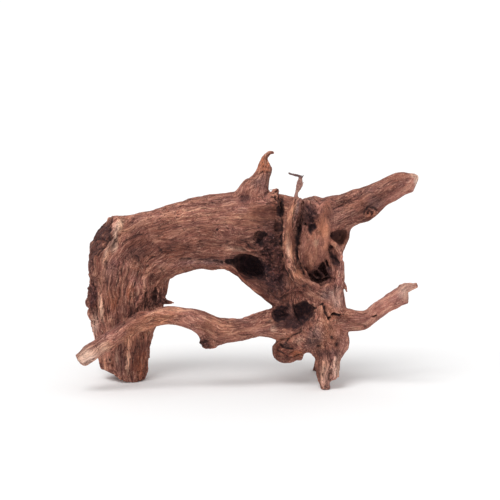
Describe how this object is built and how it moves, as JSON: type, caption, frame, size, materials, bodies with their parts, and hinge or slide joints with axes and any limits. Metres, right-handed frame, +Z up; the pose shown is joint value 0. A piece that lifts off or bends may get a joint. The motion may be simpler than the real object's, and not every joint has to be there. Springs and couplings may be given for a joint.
{
  "type": "piece of driftwood",
  "caption": "Gnarled piece of driftwood: a thick log with a torn end bends down into a leg and grows into a hollow, knotted crown with a branch stub, curved roots and low feet.",
  "frame": {"origin": "at ground level, under the middle of the piece's bounding box", "axes": "+Z up, +X from the torn end and its leg towards the crown and the branch stub, +Y to the back, away from the long front root"},
  "size_m": [0.3752, 0.1274, 0.2578],
  "materials": {
    "weathered_wood": "dry, bare, weathered red-brown wood with open grain, cracks and dark hollows"
  },
  "bodies": {
    "root": {"driftwood": "weathered_wood"}
  },
  "joints": []
}
